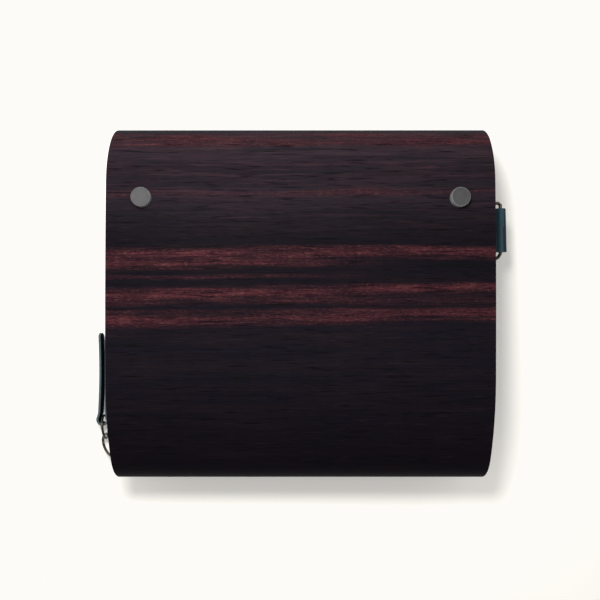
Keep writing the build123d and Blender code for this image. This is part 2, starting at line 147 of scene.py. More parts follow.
def veneer():
    """Macassar ebony: black-violet ground, red-brown bands and short pores along X."""
    m = Nodes("veneer")
    uv = m.add("ShaderNodeUVMap", uv_map="grain")
    split = m.add("ShaderNodeSeparateXYZ")
    m.link(uv.outputs[0], split.inputs[0])
    x = split.outputs[0]
    s = split.outputs[1]

    def grain(kx, ks, seed, detail=2.0, rough=0.5, along=s):
        spot = m.combine(m.math("MULTIPLY", x, kx), m.math("MULTIPLY", along, ks), seed)
        return m.noise(spot, 1.0, detail, rough)

    # the growth bands wander a little and climb towards +X
    wander = m.math("SUBTRACT", grain(9.0, 26.0, 3.0, 3.0), 0.5)
    s2 = m.math("SUBTRACT", s, m.math("MULTIPLY", x, 0.008))
    s2 = m.math("ADD", s2, m.math("MULTIPLY", wander, 0.0045))
    ragged = m.math("SUBTRACT", grain(26.0, 420.0, 11.0, 3.0, 0.6), 0.5)
    s3 = m.math("ADD", s2, m.math("MULTIPLY", ragged, 0.0036))

    def at(mm):
        """Place on a ramp of a point this many mm up the front from its centre."""
        return (mm * MM + GRAIN_SPAN) / (2 * GRAIN_SPAN)

    # red bands as (middle in mm up the front from its centre, half width, strength);
    # the middle ones differ between the left and the right end
    lowest = [(-127.0, 7.0, 0.5)]
    left = [(-7.3, 5.0, 0.85), (4.6, 5.0, 0.95), (14.7, 1.5, 0.35), (25.0, 6.5, 0.95)]
    right = [(-6.0, 4.0, 0.95), (1.0, 3.0, 0.2), (7.6, 3.5, 0.95), (27.6, 4.0, 0.95)]
    top = [(60.0, 2.2, 0.42), (94.0, 7.5, 0.85)]
    bands = []
    for middle in (left, right):
        stops = []
        for centre, half, red in lowest + middle + top:
            for side, v in ((-1.0, 0.0), (-0.5, red), (0.5, red), (1.0, 0.0)):
                stops.append((at(centre + side * half), (v, v, v)))
        bands.append(m.ramp(m.level(s3, -GRAIN_SPAN, GRAIN_SPAN), stops))
    mask = m.mix(m.level(x, -0.035, 0.045), bands[0], bands[1])
    patchy = m.level(grain(13.0, 300.0, 21.0, 5.0, 0.66, s2), 0.36, 0.60, 0.10, 1.30)
    mask = m.math("MULTIPLY", mask, patchy, clamp=True)
    upper = m.level(s2, 0.030, 0.085, 0.0, 1.0)
    broken = m.level(grain(16.0, 60.0, 95.0, 3.0, 0.6), 0.36, 0.58, 0.30, 1.0)
    mask = m.math("MULTIPLY", mask, m.math("MULTIPLY_ADD", upper, m.math("SUBTRACT", broken, 1.0), 1.0))

    # ground: violet, green-black and brown-black drifts
    drift = grain(17.0, 135.0, 31.0, 5.0, 0.64, s2)
    ground = m.ramp(
        drift,
        [
            (0.30, (0.0037, 0.0040, 0.0048)),
            (0.44, (0.0060, 0.0041, 0.0080)),
            (0.56, (0.0072, 0.0046, 0.0074)),
            (0.70, (0.0102, 0.0060, 0.0088)),
        ],
    )
    # paler, browner towards the top edge: partly the wood's own tone, partly painted light of the top-lit
    # front
    ground = m.mix(m.math("MULTIPLY", upper, 0.55), ground, (0.0270, 0.0155, 0.0215))
    # how light the ground is, partly the wood's own tone and partly painted light of the top-lit front:
    # darkest just above the bands, lightest near the top edge
    shades = [(-12, 1.0), (15, 0.82), (38, 0.73), (58, 1.2), (71, 0.82), (82, 1.2), (95, 1.3)]
    tone = m.ramp(
        m.level(s3, -GRAIN_SPAN, GRAIN_SPAN),
        [(at(mm), (v / 2, v / 2, v / 2)) for mm, v in shades],
    )
    ground = m.mix(1.0, m.mix(1.0, ground, tone, "MULTIPLY"), (2.45, 2.80, 2.55), "MULTIPLY")
    # mauve and smoky drifts in the upper wood
    mauve = m.level(grain(24.0, 520.0, 101.0, 5.0, 0.7, s2), 0.50, 0.66, 0.0, 0.60)
    ground = m.mix(m.math("MULTIPLY", mauve, upper), ground, (0.0560, 0.0260, 0.0330))
    smoke = m.level(grain(19.0, 230.0, 111.0, 5.0, 0.7, s2), 0.50, 0.38, 0.0, 0.75)
    ground = m.mix(m.math("MULTIPLY", smoke, upper), ground, (0.0100, 0.0105, 0.0135))
    # painted shade: a blue-black band on the top bend that holds down the lamp's light there, and darkening
    # towards the bottom bend, which turns away from the light
    rim = m.level(s2, 0.0975, 0.1040, 0.0, 1.0)
    rim = m.math("MULTIPLY", rim, m.level(s2, 0.1190, 0.1100, 0.0, 0.9))
    ground = m.mix(rim, ground, (0.0048, 0.0047, 0.0130))
    # painted shade of the bottom bend
    low = m.level(s2, -0.030, -0.100, 0.0, 1.0)
    ground = m.mix(m.math("MULTIPLY", low, 0.75), ground, (0.0020, 0.0012, 0.0030))
    # the red itself, with fine specks
    hue = grain(60.0, 430.0, 41.0, 6.0, 0.72, s2)
    red = m.ramp(
        hue,
        [
            (0.34, (0.0240, 0.0068, 0.0110)),
            (0.52, (0.0530, 0.0132, 0.0190)),
            (0.70, (0.0940, 0.0300, 0.0290)),
        ],
    )
    speck = m.level(grain(330.0, 1250.0, 121.0, 3.0, 0.7), 0.32, 0.68, 0.55, 1.40)
    red = m.mix(1.0, red, m.combine(speck, speck, speck), "MULTIPLY")
    col = m.mix(mask, ground, red)
    # golden figure inside the bands, fainter outside
    gold = m.level(grain(430.0, 1500.0, 51.0, 3.0, 0.6), 0.53, 0.74, 0.0, 1.0)
    reach = m.level(mask, 0.0, 0.7, 0.02, 0.62)
    col = m.mix(m.math("MULTIPLY", gold, reach), col, (0.1250, 0.0620, 0.0480))
    # long growth lines, then short open pores
    lines = grain(11.0, 900.0, 61.0, 5.0, 0.65, s2)
    col = m.mix(m.level(lines, 0.40, 0.66, 0.42, 0.0), col, (0.0030, 0.0026, 0.0034))
    pores = grain(95.0, 3000.0, 71.0, 1.0)
    pore = m.level(pores, 0.62, 0.70, 0.0, 1.0)
    col = m.mix(m.math("MULTIPLY", pore, 0.7), col, (0.0020, 0.0016, 0.0020))
    # short pale flecks and dark dashes
    pale = m.level(grain(70.0, 2400.0, 81.0, 1.0), 0.66, 0.76, 0.0, 1.0)
    col = m.mix(m.math("MULTIPLY", pale, 0.20), col, (0.0420, 0.0300, 0.0330))
    dash = m.level(grain(48.0, 760.0, 131.0, 2.0), 0.60, 0.67, 0.0, 0.72)
    col = m.mix(dash, col, (0.0022, 0.0020, 0.0032))
    m.set("Base Color", col)
    rough = m.math("ADD", m.math("MULTIPLY", lines, 0.14), 0.48)
    m.set("Roughness", m.math("ADD", rough, m.math("MULTIPLY", pore, 0.2)))
    m.set("Specular IOR Level", 0.012)
    relief = m.math("SUBTRACT", m.math("MULTIPLY", lines, 0.3), pore)
    m.set("Normal", m.bump(relief, 0.3, 0.00008))
    return m.mat


def leather(name, base, light, rough=0.48, grain=1.0):
    """Grained leather by the part's own coordinates."""
    m = Nodes(name)
    geo = m.add("ShaderNodeNewGeometry")
    coord = m.add("ShaderNodeTexCoord").outputs["Object"]
    cells = m.add("ShaderNodeTexVoronoi", feature="DISTANCE_TO_EDGE")
    cells.inputs["Scale"].default_value = 1200.0 / grain
    warp = m.add("ShaderNodeVectorMath", operation="ADD")
    wobble = m.add("ShaderNodeTexNoise")
    wobble.inputs["Scale"].default_value = 420.0
    m.link(coord, wobble.inputs["Vector"])
    shrink = m.add("ShaderNodeVectorMath", operation="SCALE")
    shrink.inputs["Scale"].default_value = 0.0012
    m.link(wobble.outputs["Color"], shrink.inputs[0])
    m.link(coord, warp.inputs[0])
    m.link(shrink.outputs[0], warp.inputs[1])
    m.link(warp.outputs[0], cells.inputs["Vector"])
    crease = m.level(cells.outputs["Distance"], 0.0, 0.16, 0.0, 1.0)
    patch = m.noise(coord, 60.0, 4.0, 0.6)
    col = m.mix(m.level(patch, 0.35, 0.7), base, light)
    col = m.mix(m.math("MULTIPLY", m.math("SUBTRACT", 1.0, crease), 0.75), col, tuple(0.35 * c for c in base))
    # paler on convex edges, found by pointiness: painted highlight
    edge = m.level(geo.outputs["Pointiness"], 0.50, 0.58, 0.0, 0.5)
    col = m.mix(edge, col, tuple(min(1.0, 2.2 * c) for c in light))
    m.set("Base Color", col)
    m.set("Roughness", m.math("ADD", m.math("MULTIPLY", patch, 0.18), rough - 0.09))
    m.set("Specular IOR Level", 0.32)
    tiny = m.noise(coord, 5200.0, 2.0)
    first = m.bump(crease, 0.35, 0.00012)
    m.set("Normal", m.bump(tiny, 0.12, 0.00005, first))
    return m.mat


def shaded_flesh_side():
    """Unfinished back of the leather: matt, slightly fibrous; its near-black colour is painted shade of the
    strap's inner faces.
    """
    m = Nodes("shaded_flesh_side")
    coord = m.add("ShaderNodeTexCoord").outputs["Object"]
    nap = m.noise(coord, 1800.0, 4.0, 0.7)
    # near-black navy: painted shade, darker than the leather's own back
    m.set("Base Color", m.mix(m.level(nap, 0.35, 0.65), (0.0008, 0.0030, 0.0060), (0.0020, 0.0065, 0.0115)))
    m.set("Roughness", 0.95)
    m.set("Specular IOR Level", 0.02)
    m.set("Normal", m.bump(nap, 0.5, 0.00015))
    return m.mat


def cut_edge():
    """Raw cut edge of the leather: pale grey-teal fibre."""
    m = Nodes("cut_edge")
    coord = m.add("ShaderNodeTexCoord").outputs["Object"]
    fibre = m.noise(coord, 2600.0, 4.0, 0.7)
    m.set("Base Color", m.mix(m.level(fibre, 0.35, 0.65), (0.030, 0.050, 0.065), (0.085, 0.115, 0.135)))
    m.set("Roughness", 0.8)
    m.set("Normal", m.bump(fibre, 0.5, 0.0002))
    return m.mat


def metal(name, base, rough, streak=0.06):
    """Darkened metal with faint handling marks."""
    m = Nodes(name)
    coord = m.add("ShaderNodeTexCoord").outputs["Object"]
    cloud = m.noise(coord, 260.0, 5.0, 0.65)
    hair = m.noise(coord, 3800.0, 3.0, 0.6, 1.5)
    m.set("Metallic", 1.0)
    m.set("Base Color", m.mix(cloud, tuple(0.8 * c for c in base), tuple(1.25 * c for c in base)))
    m.set("Roughness", m.math("ADD", m.math("MULTIPLY", hair, streak * 2), rough - streak))
    m.set("Normal", m.bump(hair, 0.12, 0.00003))
    return m.mat


def woven():
    """Zip tape: fine twill."""
    m = Nodes("zip_tape_weave")
    coord = m.add("ShaderNodeTexCoord").outputs["Object"]
    waves = []
    for angle in (38.0, -38.0):
        turn = m.add("ShaderNodeMapping")
        turn.inputs["Rotation"].default_value = (math.radians(angle), 0.0, math.radians(angle))
        m.link(coord, turn.inputs["Vector"])
        wave = m.add("ShaderNodeTexWave", wave_type="BANDS", bands_direction="DIAGONAL")
        wave.inputs["Scale"].default_value = 420.0
        wave.inputs["Distortion"].default_value = 0.4
        m.link(turn.outputs[0], wave.inputs["Vector"])
        waves.append(wave.outputs["Fac"])
    cloth = m.math("MULTIPLY", waves[0], waves[1])
    fuzz = m.noise(coord, 1500.0, 3.0)
    m.set("Base Color", m.mix(cloth, (0.006, 0.010, 0.014), (0.022, 0.032, 0.040)))
    m.set("Roughness", 0.85)
    m.set("Sheen Weight", 0.25)
    m.set("Normal", m.bump(m.math("ADD", cloth, m.math("MULTIPLY", fuzz, 0.4)), 0.5, 0.00015))
    return m.mat


def sewing():
    """Twisted petrol-blue thread."""
    m = Nodes("thread")
    coord = m.add("ShaderNodeTexCoord").outputs["Object"]
    twist = m.noise(coord, 2600.0, 2.0)
    m.set("Base Color", m.mix(twist, (0.014, 0.030, 0.038), (0.040, 0.070, 0.082)))
    m.set("Roughness", 0.6)
    m.set("Normal", m.bump(twist, 0.4, 0.0001))
    return m.mat


def table_top():
    """Plain warm white table with a faint haze."""
    m = Nodes("table")
    coord = m.add("ShaderNodeTexCoord").outputs["Object"]
    haze = m.noise(coord, 3.0, 2.0)
    m.set("Base Color", m.mix(haze, (0.95, 0.935, 0.885), (0.96, 0.945, 0.895)))
    m.set("Roughness", 0.75)
    m.set("Specular IOR Level", 0.15)
    return m.mat


WOOD = veneer()
LEATHER = leather("petrol_leather", (0.0075, 0.0340, 0.0500), (0.0175, 0.0640, 0.0860), 0.50)
# darker copy of the petrol leather for the fold's far side: painted shade
FOLD_SHADE = leather("petrol_fold_shade", (0.0016, 0.0060, 0.0150), (0.0028, 0.0105, 0.0240), 0.80)
LINING = leather("lining_leather", (0.018, 0.027, 0.032), (0.034, 0.046, 0.052), 0.62, 0.7)
EDGE = cut_edge()
FLESH_SHADE = shaded_flesh_side()
GUN = metal("gunmetal", (0.066, 0.065, 0.067), 0.62)
# lighter copy of the gunmetal for the studs' sides and washers: painted light
GUN_SIDE_LIT = metal("gunmetal_side_lit", (0.230, 0.226, 0.230), 0.85)
DARK_GUN = metal("dark_gunmetal", (0.060, 0.056, 0.046), 0.30)
ZIP_METAL = metal("zip_metal", (0.22, 0.215, 0.205), 0.36)
TAPE = woven()
THREAD = sewing()
TABLE = table_top()


# --------------------------------------------------------------- mesh helpers
def make(name, verts, faces, *mats, smooth=40.0):
    """Object from vertices in metres; edges sharper than `smooth` degrees stay sharp."""
    me = bpy.data.meshes.new(name)
    me.from_pydata([tuple(v) for v in verts], [], faces)
    me.validate()
    ob = bpy.data.objects.new(name, me)
    bpy.context.scene.collection.objects.link(ob)
    for mat in mats:
        me.materials.append(mat)
    me.shade_smooth()
    me.set_sharp_from_angle(angle=math.radians(smooth))
    return ob


def bevel(ob, width, segments=3, angle=35.0):
    """Round the sharp edges by `width` mm."""
    mod = ob.modifiers.new("bevel", "BEVEL")
    mod.width = width * MM
    mod.segments = segments
    mod.limit_method = "ANGLE"
    mod.angle_limit = math.radians(angle)
    mod.harden_normals = True
    return ob


def join(name, parts, *mats, smooth=40.0):
    """One mesh from several (verts, faces) pieces."""
    verts = []
    faces = []
    for vs, fs in parts:
        base = len(verts)
        verts.extend(vs)
        faces.extend(tuple(base + i for i in f) for f in fs)
    return make(name, verts, faces, *mats, smooth=smooth)


def tube(points, radius, closed=False, sides=14):
    """(verts, faces) of a round wire along points, in mm, returned in metres."""
    pts = [Vector(p) for p in points]
    n = len(pts)
    verts = []
    faces = []
    normal = None
    for i in range(n):
        if closed:
            d = pts[(i + 1) % n] - pts[i - 1]
        else:
            d = pts[min(i + 1, n - 1)] - pts[max(i - 1, 0)]
        d.normalize()
        if normal is None:
            normal = d.orthogonal().normalized()
        normal = (normal - d * normal.dot(d)).normalized()
        side = d.cross(normal)
        for k in range(sides):
            a = 2 * math.pi * k / sides
            verts.append((pts[i] + normal * radius * math.cos(a) + side * radius * math.sin(a)) * MM)
    rings = n if closed else n - 1
    # a closed frame may come back turned: find the best match of the two ends
    shift = 0
    if closed:
        first = verts[0]
        last = verts[-sides:]
        shift = min(range(sides), key=lambda k: (last[k] - first).length)
    for i in range(rings):
        j = (i + 1) % n
        off = shift if closed and j == 0 else 0
        for k in range(sides):
            a = i * sides + (k + off) % sides
            b = i * sides + (k + 1 + off) % sides
            faces.append((a, b, j * sides + (k + 1) % sides, j * sides + k))
    if not closed:
        faces.append(tuple(range(sides - 1, -1, -1)))
        faces.append(tuple((n - 1) * sides + k for k in range(sides)))
    return verts, faces


def lathe(profile, origin, axis, sides=64):
    """(verts, faces) of a turned shape; profile is (radius, height) in mm from axis to axis."""
    axis = Vector(axis).normalized()
    ux = Vector((1, 0, 0)) if abs(axis.x) < 0.9 else Vector((0, 1, 0))
    ux = (ux - axis * ux.dot(axis)).normalized()
    uy = axis.cross(ux)
    verts = []
    faces = []
    rows = []
    for r, h in profile:
        if r < 1e-6:
            rows.append([len(verts)])
            verts.append((Vector(origin) + axis * h) * MM)
            continue
        row = []
        for k in range(sides):
            a = 2 * math.pi * k / sides
            row.append(len(verts))
            verts.append((Vector(origin) + axis * h + ux * r * math.cos(a) + uy * r * math.sin(a)) * MM)
        rows.append(row)
    for lo, hi in zip(rows, rows[1:]):
        for k in range(sides):
            a = lo[k % len(lo)]
            b = lo[(k + 1) % len(lo)]
            c = hi[(k + 1) % len(hi)]
            d = hi[k % len(hi)]
            face = [a]
            for v in (b, c, d):
                if v not in face:
                    face.append(v)
            if len(face) > 2:
                faces.append(tuple(face))
    return verts, faces


def stitch(a, b, normal, radius=0.22, sink=0.55):
    """(verts, faces) of one stitch: a short thread that dips in at both ends."""
    a = Vector(a)
    b = Vector(b)
    n = Vector(normal).normalized()
    pts = []
    for i in range(9):
        t = i / 8
        lift = math.sin(math.pi * t) ** 0.5 * (1 + sink) - 1 - sink * 0.35
        pts.append(a.lerp(b, t) + n * radius * lift)
    return tube(pts, radius, sides=8)


def seam(a, b, normal, pitch=3.2, share=0.72, radius=0.22):
    """Stitches in a row from a to b."""
    a = Vector(a)
    b = Vector(b)
    count = max(1, int((b - a).length / pitch))
    out = []
    for i in range(count):
        t0 = (i + 0.5 - share / 2) / count
        t1 = (i + 0.5 + share / 2) / count
        out.append(stitch(a.lerp(b, t0), a.lerp(b, t1), normal, radius))
    return out


# -------------------------------------------------------------- cover section
# the oval in (y, z), mm, the same as in the CAD; an arc is (centre, radius)
HALF_W = 105.0
HALF_H = 101.0
DEPTH = 64.0
MID = 32.0
TOP_R = 28.0
LOW_R = 24.1
CROWN_R = 2150.0
CROWN_Y = -8.9
FRONT_TOP_R = 42.3
FRONT_LOW_R = 126.0
BACK_TOP_R = 50.0
BACK_LOW_R = 110.0
VENEER = 1.2
TOP = ((HALF_H - TOP_R, MID), TOP_R)
LOW = ((-HALF_H + LOW_R, MID), LOW_R)
CROWN = ((CROWN_Y, DEPTH - CROWN_R), CROWN_R)


def meet(first, second, s, sign):
    """Centre of the arc of radius s tangent inside both circles."""
    (bx, by), rb = first
    (cx, cy), rc = second
    d = math.hypot(cx - bx, cy - by)
    p = s - rb
    q = rc - s
    along = (p * p - q * q + d * d) / (2 * d)
    off = math.sqrt(max(p * p - along * along, 0.0))
    ux = (cx - bx) / d
    uy = (cy - by) / d
    both = [(bx + along * ux + k * off * uy, by + along * uy - k * off * ux) for k in (-1, 1)]
    return max(both) if sign > 0 else min(both)


def heading(a, b):
    """Angle of the line from a to b, 0 to 360 degrees."""
    return math.degrees(math.atan2(b[1] - a[1], b[0] - a[0])) % 360


def back_shift(big, small):
    """How far along y the centre of a back shoulder lies from the bend's."""
    return math.sqrt((big - small) ** 2 - (big - MID) ** 2)


FT = (meet(TOP, CROWN, FRONT_TOP_R, -1), FRONT_TOP_R)
FB = (meet(LOW, CROWN, FRONT_LOW_R, 1), FRONT_LOW_R)
BT = ((TOP[0][0] - back_shift(BACK_TOP_R, TOP_R), BACK_TOP_R), BACK_TOP_R)
BB = ((LOW[0][0] + back_shift(BACK_LOW_R, LOW_R), BACK_LOW_R), BACK_LOW_R)


def front_run(first, last):
    """Arcs (arc, start, end) of the front from `first` on the top bend to `last` on the bottom bend."""
    a = heading(FT[0], TOP[0])
    b = heading(CROWN[0], FT[0])
    c = heading(CROWN[0], FB[0])
    d = heading(FB[0], LOW[0])
    return [(TOP, first, a), (FT, a, b), (CROWN, b, c), (FB, c, d), (LOW, d, last)]


def back_run(first, last):
    """Arcs of the back from `first` on the bottom bend to `last` on the top bend."""
    a = heading(BB[0], LOW[0])
    b = heading(BT[0], TOP[0])
    return [(LOW, first, a), (BB, a, 270.0), (BT, 270.0, b), (TOP, b, last)]


def trace(run, inset, step=1.6):
    """Points (y, z, s) along a run at one inset; s is the length along the outer face."""
    pts = []
    s = 0.0
    last = None
    for (c, r), a0, a1 in run:
        n = max(2, int(math.radians(a1 - a0) * r / step) + 1)
        outer0 = (c[0] + r * math.cos(math.radians(a0)), c[1] + r * math.sin(math.radians(a0)))
        if last is not None:
            gap = math.hypot(outer0[0] - last[0], outer0[1] - last[1])
            if gap > 0.01:
                steps = int(gap / 4.0)
                y0, z0, _ = pts[-1]
                y1 = c[0] + (r - inset) * math.cos(math.radians(a0))
                z1 = c[1] + (r - inset) * math.sin(math.radians(a0))
                for i in range(1, steps):
                    t = i / steps
                    pts.append((y0 + (y1 - y0) * t, z0 + (z1 - z0) * t, s + gap * t))
                s += gap
        for i in range(n + 1):
            if i == 0 and last is not None and gap <= 0.01:
                continue
            a = math.radians(a0 + (a1 - a0) * i / n)
            y = c[0] + (r - inset) * math.cos(a)
            z = c[1] + (r - inset) * math.sin(a)
            pts.append((y, z, s + math.radians((a1 - a0) * i / n) * r))
        s += math.radians(a1 - a0) * r
        last = (c[0] + r * math.cos(math.radians(a1)), c[1] + r * math.sin(math.radians(a1)))
        gap = 0.0
    return pts


def sheet_mesh(name, run, outer, inner, half_x, mat, s_zero=0.0, stations=None, swell=None):
    """Bent sheet between two insets, with a grain map of (x, length along the sheet)."""
    a = trace(run, outer)
    b = trace(run, inner)
    xs = stations or [-half_x, -half_x + 6, 0.0, half_x - 6, half_x]
    n = len(a)
    verts = []
    coords = []
    for x in xs:
        for (y, z, s), (y2, z2, _) in zip(a, b):
            lift = swell(x, y, z) if swell else 0.0
            nx = Vector((0.0, y - y2, z - z2)).normalized() * lift
            verts.append(Vector((x, y + nx.y, z + nx.z)) * MM)
            coords.append((x * MM, (s_zero - s) * MM))
        for (y, z, s), (y2, z2, _) in zip(a, b):
            verts.append(Vector((x, y2, z2)) * MM)
            coords.append((x * MM, (s_zero - s) * MM))
    faces = []
    row = 2 * n
    for i in range(len(xs) - 1):
        p = i * row
        q = p + row
        for k in range(n - 1):
            faces.append((p + k, q + k, q + k + 1, p + k + 1))
            faces.append((p + n + k + 1, q + n + k + 1, q + n + k, p + n + k))
        faces.append((p, p + n, q + n, q))
        faces.append((p + n - 1, q + n - 1, q + 2 * n - 1, p + 2 * n - 1))
    last = (len(xs) - 1) * row
    for k in range(n - 1):
        faces.append((k, k + 1, n + k + 1, n + k))
        faces.append((last + k + 1, last + k, last + n + k, last + n + k + 1))
    ob = make(name, verts, faces, mat)
    layer = ob.data.uv_layers.new(name="grain")
    for poly in ob.data.polygons:
        for li, vi in zip(poly.loop_indices, poly.vertices):
            layer.data[li].uv = coords[vi]
    return ob


def length_to_crown(run):
    """Length along the outer face from the start of the run to where y is 0."""
    pts = trace(run, 0.0)
    for (y0, _, s0), (y1, _, s1) in zip(pts, pts[1:]):
        if y0 >= 0.0 > y1:
            return s0 + (s1 - s0) * y0 / (y0 - y1)
    return 0.0


face_run = front_run(0.9, 171.0)
zero = length_to_crown(face_run)
front = bevel(sheet_mesh("veneer_front", face_run, 0.0, VENEER, HALF_W, WOOD, zero), 0.22)
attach(front, "flap")
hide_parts("front_shell")

rear_run = back_run(189.0, 359.1)
HINGE_GAP = 7.6
rear_zero = zero - trace(face_run, 0.0)[-1][2] - HINGE_GAP
rear = bevel(sheet_mesh("veneer_back", rear_run, 0.0, VENEER, HALF_W, WOOD, rear_zero), 0.22)
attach(rear, "base")
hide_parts("back_shell")

UNDER = VENEER + 0.02
lining = bevel(sheet_mesh("lining_front", front_run(2.4, 141.4), UNDER, 2.0, HALF_W - 1.5, LINING), 0.2)
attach(lining, "flap")
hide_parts("front_lining")

board = bevel(sheet_mesh("board_back", back_run(218.6, 348.0), UNDER, 4.38, HALF_W - 3.0, LINING), 0.9)
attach(board, "base")
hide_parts("back_board")

# ------------------------------------------------------------- leather spine
spine_run = [(LOW, 142.0, 218.0)]
spine = sheet_mesh("spine_strip", spine_run, UNDER, 2.2, HALF_W - 1.0, LEATHER)
bevel(spine, 0.2)
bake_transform(spine)
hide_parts("spine_front", "spine_back")

# --------------------------------------------------------------------- pouch
# insets of the pouch sheet's two faces, its half width, and the angle of the zip's slot on the top bend
POUCH = 4.42
POUCH_IN = 5.58
POUCH_X = 94.0
SLOT = math.degrees(math.asin(9.0 / (TOP_R - 4.4)))


def soft(x, y, z):
    """Shallow unevenness of hand-worked leather, in mm."""
    a = math.sin(x * 0.071 + 0.8) * math.sin(y * 0.057 + z * 0.03 + 1.9)
    b = math.sin(x * 0.173 + y * 0.121 + 0.4)
    return 0.10 * a + 0.05 * b - 0.12


pouch_run = front_run(SLOT, 180.0) + back_run(180.0, 360.0 - SLOT)
stations = [-POUCH_X + 2 * POUCH_X * i / 48 for i in range(49)]
pouch = sheet_mesh(
    "pouch_leather", pouch_run, POUCH, POUCH_IN, POUCH_X, LEATHER, stations=stations, swell=soft
)
bevel(pouch, 0.35)
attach(pouch, "base")
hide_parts("pouch_wrap")


def seam_along(points, normals, pitch=3.2):
    """Stitches that follow a curve of (x, y, z) points."""
    out = []
    total = [0.0]
    for a, b in zip(points, points[1:]):
        total.append(total[-1] + (Vector(b) - Vector(a)).length)
    count = max(1, int(total[-1] / pitch))

    def place(d):
        d = min(max(d, 0.0), total[-1] - 1e-6)
        i = max(k for k in range(len(total) - 1) if total[k] <= d)
        t = (d - total[i]) / max(total[i + 1] - total[i], 1e-9)
        return Vector(points[i]).lerp(Vector(points[i + 1]), t), Vector(normals[i])

    for i in range(count):
        a, n = place((i + 0.15) * total[-1] / count)
        b, _ = place((i + 0.85) * total[-1] / count)
        out.append(stitch(a, b, n))
    return out


threads = []
front_trace = trace(front_run(SLOT + 8.0, 172.0), POUCH, 4.0)
inner_trace = trace(front_run(SLOT + 8.0, 172.0), POUCH + 1.0, 4.0)
for x in (-90.5, 90.5):
    pts = [(x, y, z) for y, z, _ in front_trace]
    norms = [(0.0, a[0] - b[0], a[1] - b[1]) for a, b in zip(front_trace, inner_trace)]
    threads.extend(seam_along(pts, norms, 3.6))
lip_y, lip_z, _ = trace(front_run(SLOT + 7.0, 100.0), POUCH, 2.0)[0]
lip_n = (0.0, lip_y - TOP[0][0], lip_z - MID)
threads.extend(seam((-88.0, lip_y, lip_z), (88.0, lip_y, lip_z), lip_n, 3.6))
back_z = 2 * MID - lip_z
threads.extend(seam((-88.0, lip_y, back_z), (88.0, lip_y, back_z), (0.0, lip_n[1], -lip_n[2]), 3.6))

# end walls: flat leather panels between the pouch's inner faces
outline_top = [(y, z) for y, z, _ in trace(front_run(0.0, 180.0), POUCH_IN + 0.05, 1.0)]
outline_low = [(y, z) for y, z, _ in trace(back_run(180.0, 360.0), POUCH_IN + 0.05, 1.0)]


def height_at(y, outline):
    """Height of an outline at y; the outline runs one way along y."""
    for (y0, z0), (y1, z1) in zip(outline, outline[1:]):
        if min(y0, y1) <= y <= max(y0, y1) and abs(y1 - y0) > 1e-9:
            return z0 + (z1 - z0) * (y - y0) / (y1 - y0)
    return MID


def wall(name, x, inward, spans, rows=10):
    """End wall of several patches; each span is (y0, y1, low rule, high rule)."""
    parts = []
    for y0, y1, low, high in spans:
        cols = max(3, int((y1 - y0) / 2.5))
        front_v = []
        for i in range(cols + 1):
            y = y0 + (y1 - y0) * i / cols
            a = low(y)
            b = high(y)
            for k in range(rows + 1):
                z = a + (b - a) * k / rows
                front_v.append((y, z))
        verts = []
        for side in (0.0, POUCH_IN - POUCH):
            for y, z in front_v:
                verts.append(Vector((x + inward * side, y, z)) * MM)
        n = len(front_v)
        faces = []
        step = rows + 1
        for i in range(cols):
            for k in range(rows):
                a = i * step + k
                quad = (a, a + step, a + step + 1, a + 1)
                faces.append(quad if inward > 0 else quad[::-1])
                back = tuple(n + j for j in (a, a + 1, a + step + 1, a + step))
                faces.append(back if inward > 0 else back[::-1])
        rim = [i * step for i in range(cols + 1)]
        rim += [cols * step + k for k in range(1, rows + 1)]
        rim += [i * step + rows for i in range(cols - 1, -1, -1)]
        rim += [k for k in range(rows - 1, 0, -1)]
        for a, b in zip(rim, rim[1:] + rim[:1]):
            quad = (a, n + a, n + b, b)
            faces.append(quad if inward > 0 else quad[::-1])
        parts.append((verts, faces))
    return join(name, parts, LEATHER)


def top_of(y):
    return height_at(y, outline_top)


def low_of(y):
    return height_at(y, outline_low)


left_wall = wall(
    "left_end_wall",
    -POUCH_X,
    1,
    [
        (-93.6, 93.9, lambda y: MID + 7.5, top_of),
        (-93.6, 93.9, low_of, lambda y: MID - 7.5),
        (-95.3, -92.3, lambda y: max(low_of(y), MID - 7.6), lambda y: min(top_of(y), MID + 7.6)),
    ],
)
bevel(left_wall, 0.3)
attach(left_wall, "base")
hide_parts("left_gusset")

right_wall = wall("right_end_wall", POUCH_X, -1, [(-95.3, 95.3, low_of, top_of)], 24)
bevel(right_wall, 0.3)
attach(right_wall, "base")
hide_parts("right_gusset")

for s in (-1, 1):
    z = MID + s * 9.4
    threads.extend(seam((-94.02, -90.0, z), (-94.02, 84.0, z), (-1, 0, 0), 3.4))

# ----------------------------------------------------------------------- zip
# the zip's tape: its face at the left end and at the top, the corner between them, and its two ends
TAPE_X = -92.6
TAPE_Y = 91.35
CORNER = 9.0
ZIP_RIGHT = 89.0
ZIP_LOW = -91.4


def zip_path(offset, step=1.0):
    """Points (x, y, nx, ny) along the zip; offset is measured inwards from the tape's face."""
    out = []
    cx = TAPE_X + CORNER
    cy = TAPE_Y - CORNER
    length = ZIP_RIGHT - cx
    n = int(length / step)
    for i in range(n + 1):
        out.append((ZIP_RIGHT - length * i / n, TAPE_Y - offset, 0.0, 1.0))
    steps = max(8, int(CORNER * math.pi / 2 / step))
    for i in range(1, steps + 1):
        a = math.radians(90 + 90 * i / steps)
        r = CORNER - offset
        out.append((cx + r * math.cos(a), cy + r * math.sin(a), math.cos(a), math.sin(a)))
    length = cy - ZIP_LOW
    n = int(length / step)
    for i in range(1, n + 1):
        out.append((TAPE_X + offset, cy - length * i / n, -1.0, 0.0))
    return out


